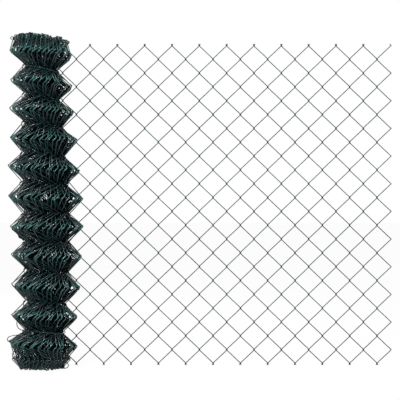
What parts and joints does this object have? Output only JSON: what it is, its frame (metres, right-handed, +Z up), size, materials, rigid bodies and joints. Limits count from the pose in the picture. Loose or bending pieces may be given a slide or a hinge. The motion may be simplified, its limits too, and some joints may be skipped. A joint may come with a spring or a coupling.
{
  "type": "roll of chain-link fencing",
  "caption": "Compact roll of dark green coated chain-link fencing standing on end, with its outer length unrolled as a flat sheet of diamond mesh.",
  "frame": {"origin": "centre of the roll's bore at the floor, where the roll stands on its end", "axes": "+Z up along the roll's axis, +X along the unrolled sheet towards its free edge, +Y towards the back, where the sheet leaves the roll"},
  "size_m": [1.1629, 0.2287, 0.9935],
  "materials": {
    "coated_wire": "semi-gloss dark green coating",
    "tie_wire": "semi-gloss green coating"
  },
  "bodies": {
    "root": {"compact_roll": "coated_wire", "spiral_wire_01": "coated_wire", "spiral_wire_02": "coated_wire", "spiral_wire_03": "coated_wire", "spiral_wire_04": "coated_wire", "spiral_wire_05": "coated_wire", "spiral_wire_06": "coated_wire", "spiral_wire_07": "coated_wire", "spiral_wire_08": "coated_wire", "spiral_wire_09": "coated_wire", "spiral_wire_10": "coated_wire", "spiral_wire_11": "coated_wire", "spiral_wire_12": "coated_wire", "spiral_wire_13": "coated_wire", "spiral_wire_14": "coated_wire", "spiral_wire_15": "coated_wire", "spiral_wire_16": "coated_wire", "spiral_wire_17": "coated_wire", "spiral_wire_18": "coated_wire", "spiral_wire_19": "coated_wire", "spiral_wire_20": "coated_wire", "spiral_wire_21": "coated_wire", "spiral_wire_22": "coated_wire", "spiral_wire_23": "coated_wire", "spiral_wire_24": "coated_wire", "spiral_wire_25": "coated_wire", "spiral_wire_26": "coated_wire", "tie_wire_bottom": "tie_wire", "tie_wire_top": "tie_wire"}
  },
  "joints": []
}
